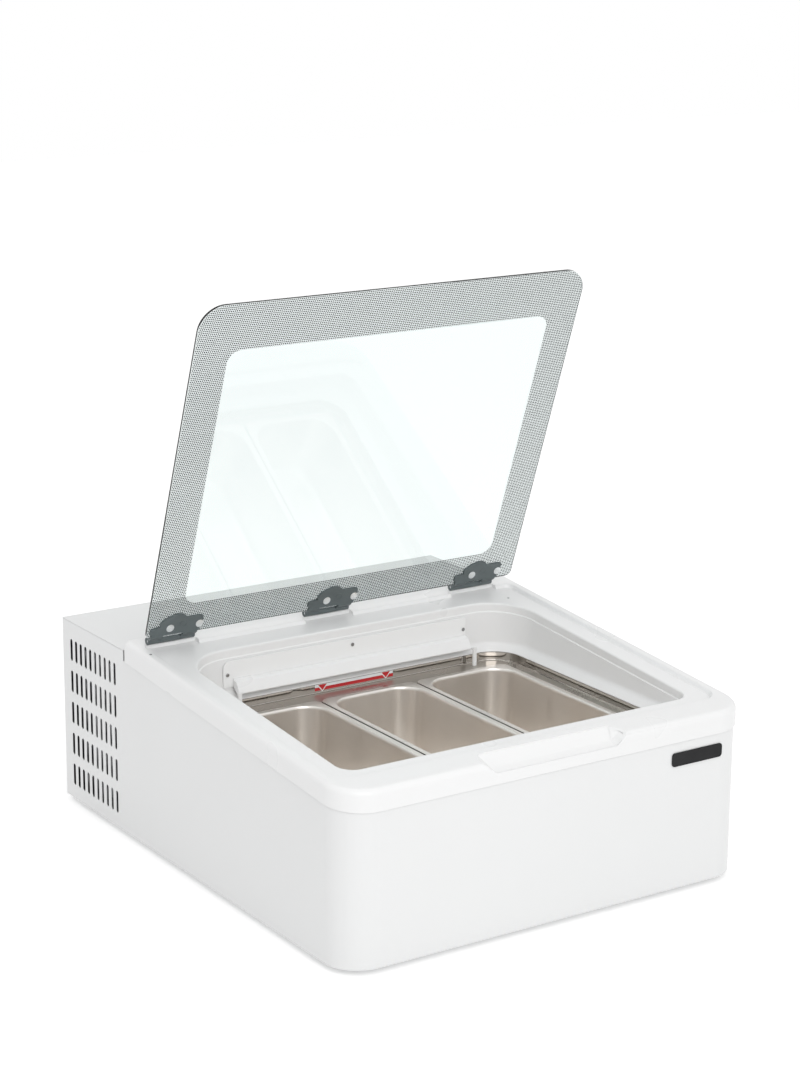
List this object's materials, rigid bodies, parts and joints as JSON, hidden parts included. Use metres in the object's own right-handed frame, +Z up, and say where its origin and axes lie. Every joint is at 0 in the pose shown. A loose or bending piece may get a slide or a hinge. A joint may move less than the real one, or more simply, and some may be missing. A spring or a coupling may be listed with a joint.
{
  "type": "ice cream dipping cabinet",
  "caption": "Countertop ice cream dipping cabinet with a hinged glass lid over lift-out pans in an insulated tank, and a ventilated machine housing behind.",
  "frame": {"origin": "on the floor, under the middle of the overall box with the lid open as modelled", "axes": "+Z up; +X to the right and -Y to the front, as a user standing at the tank sees it"},
  "size_m": [0.675, 0.814, 0.8222],
  "materials": {
    "white_paint": "smooth satin",
    "white_plastic": "satin moulded",
    "opal_plastic": "opal",
    "stainless": "polished",
    "galvanised": "zinc coated sheet",
    "zinc_steel": "bright zinc",
    "grey_plastic": "fine grain",
    "black_plastic": "satin",
    "black_rubber": "matte",
    "foam": "rigid foam",
    "copper": "drawn copper",
    "black_paint": "satin",
    "aluminium": "mill",
    "glass": "toughened, dot print round the edge"
  },
  "bodies": {
    "cabinet": {"outer_shell": "white_paint", "base_plate": "galvanised", "rear_top_cover": "white_paint", "rear_panel": "galvanised", "bulkhead": "galvanised", "foam_insulation": "foam", "top_frame": "white_plastic", "tank_liner": "stainless", "evaporator_coil": "copper", "rear_cover_plate": "white_paint", "light_bar": "white_plastic", "led_strip": "opal_plastic", "badge_plate": "black_plastic", "foot_front_left": "black_rubber", "foot_rear_left": "black_rubber", "foot_front_right": "black_rubber", "foot_rear_right": "black_rubber", "hinge_base_left": "grey_plastic", "hinge_pin_left": "zinc_steel", "hinge_base_middle": "grey_plastic", "hinge_pin_middle": "zinc_steel", "hinge_base_right": "grey_plastic", "hinge_pin_right": "zinc_steel", "compressor": "black_paint", "compressor_mount": "galvanised", "compressor_grommet_1": "black_rubber", "compressor_grommet_2": "black_rubber", "compressor_grommet_3": "black_rubber", "compressor_grommet_4": "black_rubber", "terminal_box": "black_plastic", "condenser_core": "aluminium", "condenser_tube": "copper", "fan_shroud": "galvanised", "fan_motor": "black_plastic", "filter_dryer": "copper", "discharge_pipe": "copper", "liquid_pipe": "copper", "suction_pipe": "copper", "thermostat_body": "black_plastic", "switch_body": "black_plastic", "cable_gland": "black_plastic"},
    "lid": {"lid_glass": "glass", "hinge_leaf_left": "grey_plastic", "hinge_leaf_middle": "grey_plastic", "hinge_leaf_right": "grey_plastic", "hinge_screw_left_1": "zinc_steel", "hinge_screw_left_2": "zinc_steel", "hinge_screw_middle_1": "zinc_steel", "hinge_screw_middle_2": "zinc_steel", "hinge_screw_right_1": "zinc_steel", "hinge_screw_right_2": "zinc_steel"},
    "pan_left": {"pan_left": "stainless"},
    "pan_middle": {"pan_middle": "stainless"},
    "pan_right": {"pan_right": "stainless"},
    "fan": {"fan_blade": "aluminium"},
    "thermostat_knob": {"thermostat_knob": "black_plastic"},
    "switch_rocker": {"switch_rocker": "black_plastic"}
  },
  "joints": [
    {"name": "lid_hinge", "type": "hinge", "parent": "cabinet", "child": "lid", "pos_m": [0, 0.1585, 0.30867], "axis": [-1, 0, 0], "range_deg": [-75.3, 14.7]},
    {"name": "pan_left_lift", "type": "slide", "parent": "cabinet", "child": "pan_left", "axis": [0, 0, 1], "range_m": [0, 0.13]},
    {"name": "pan_middle_lift", "type": "slide", "parent": "cabinet", "child": "pan_middle", "axis": [0, 0, 1], "range_m": [0, 0.13]},
    {"name": "pan_right_lift", "type": "slide", "parent": "cabinet", "child": "pan_right", "axis": [0, 0, 1], "range_m": [0, 0.13]},
    {"name": "fan_spin", "type": "hinge", "parent": "cabinet", "child": "fan", "pos_m": [-0.265, 0.2955, 0.136], "axis": [1, 0, 0], "continuous": true},
    {"name": "thermostat_turn", "type": "hinge", "parent": "cabinet", "child": "thermostat_knob", "pos_m": [-0.215, 0.395, 0.233], "axis": [0, 1, 0], "range_deg": [-135, 135]},
    {"name": "switch_rock", "type": "hinge", "parent": "cabinet", "child": "switch_rocker", "pos_m": [-0.155, 0.393, 0.233], "axis": [-1, 0, 0], "range_deg": [0, 14]}
  ]
}
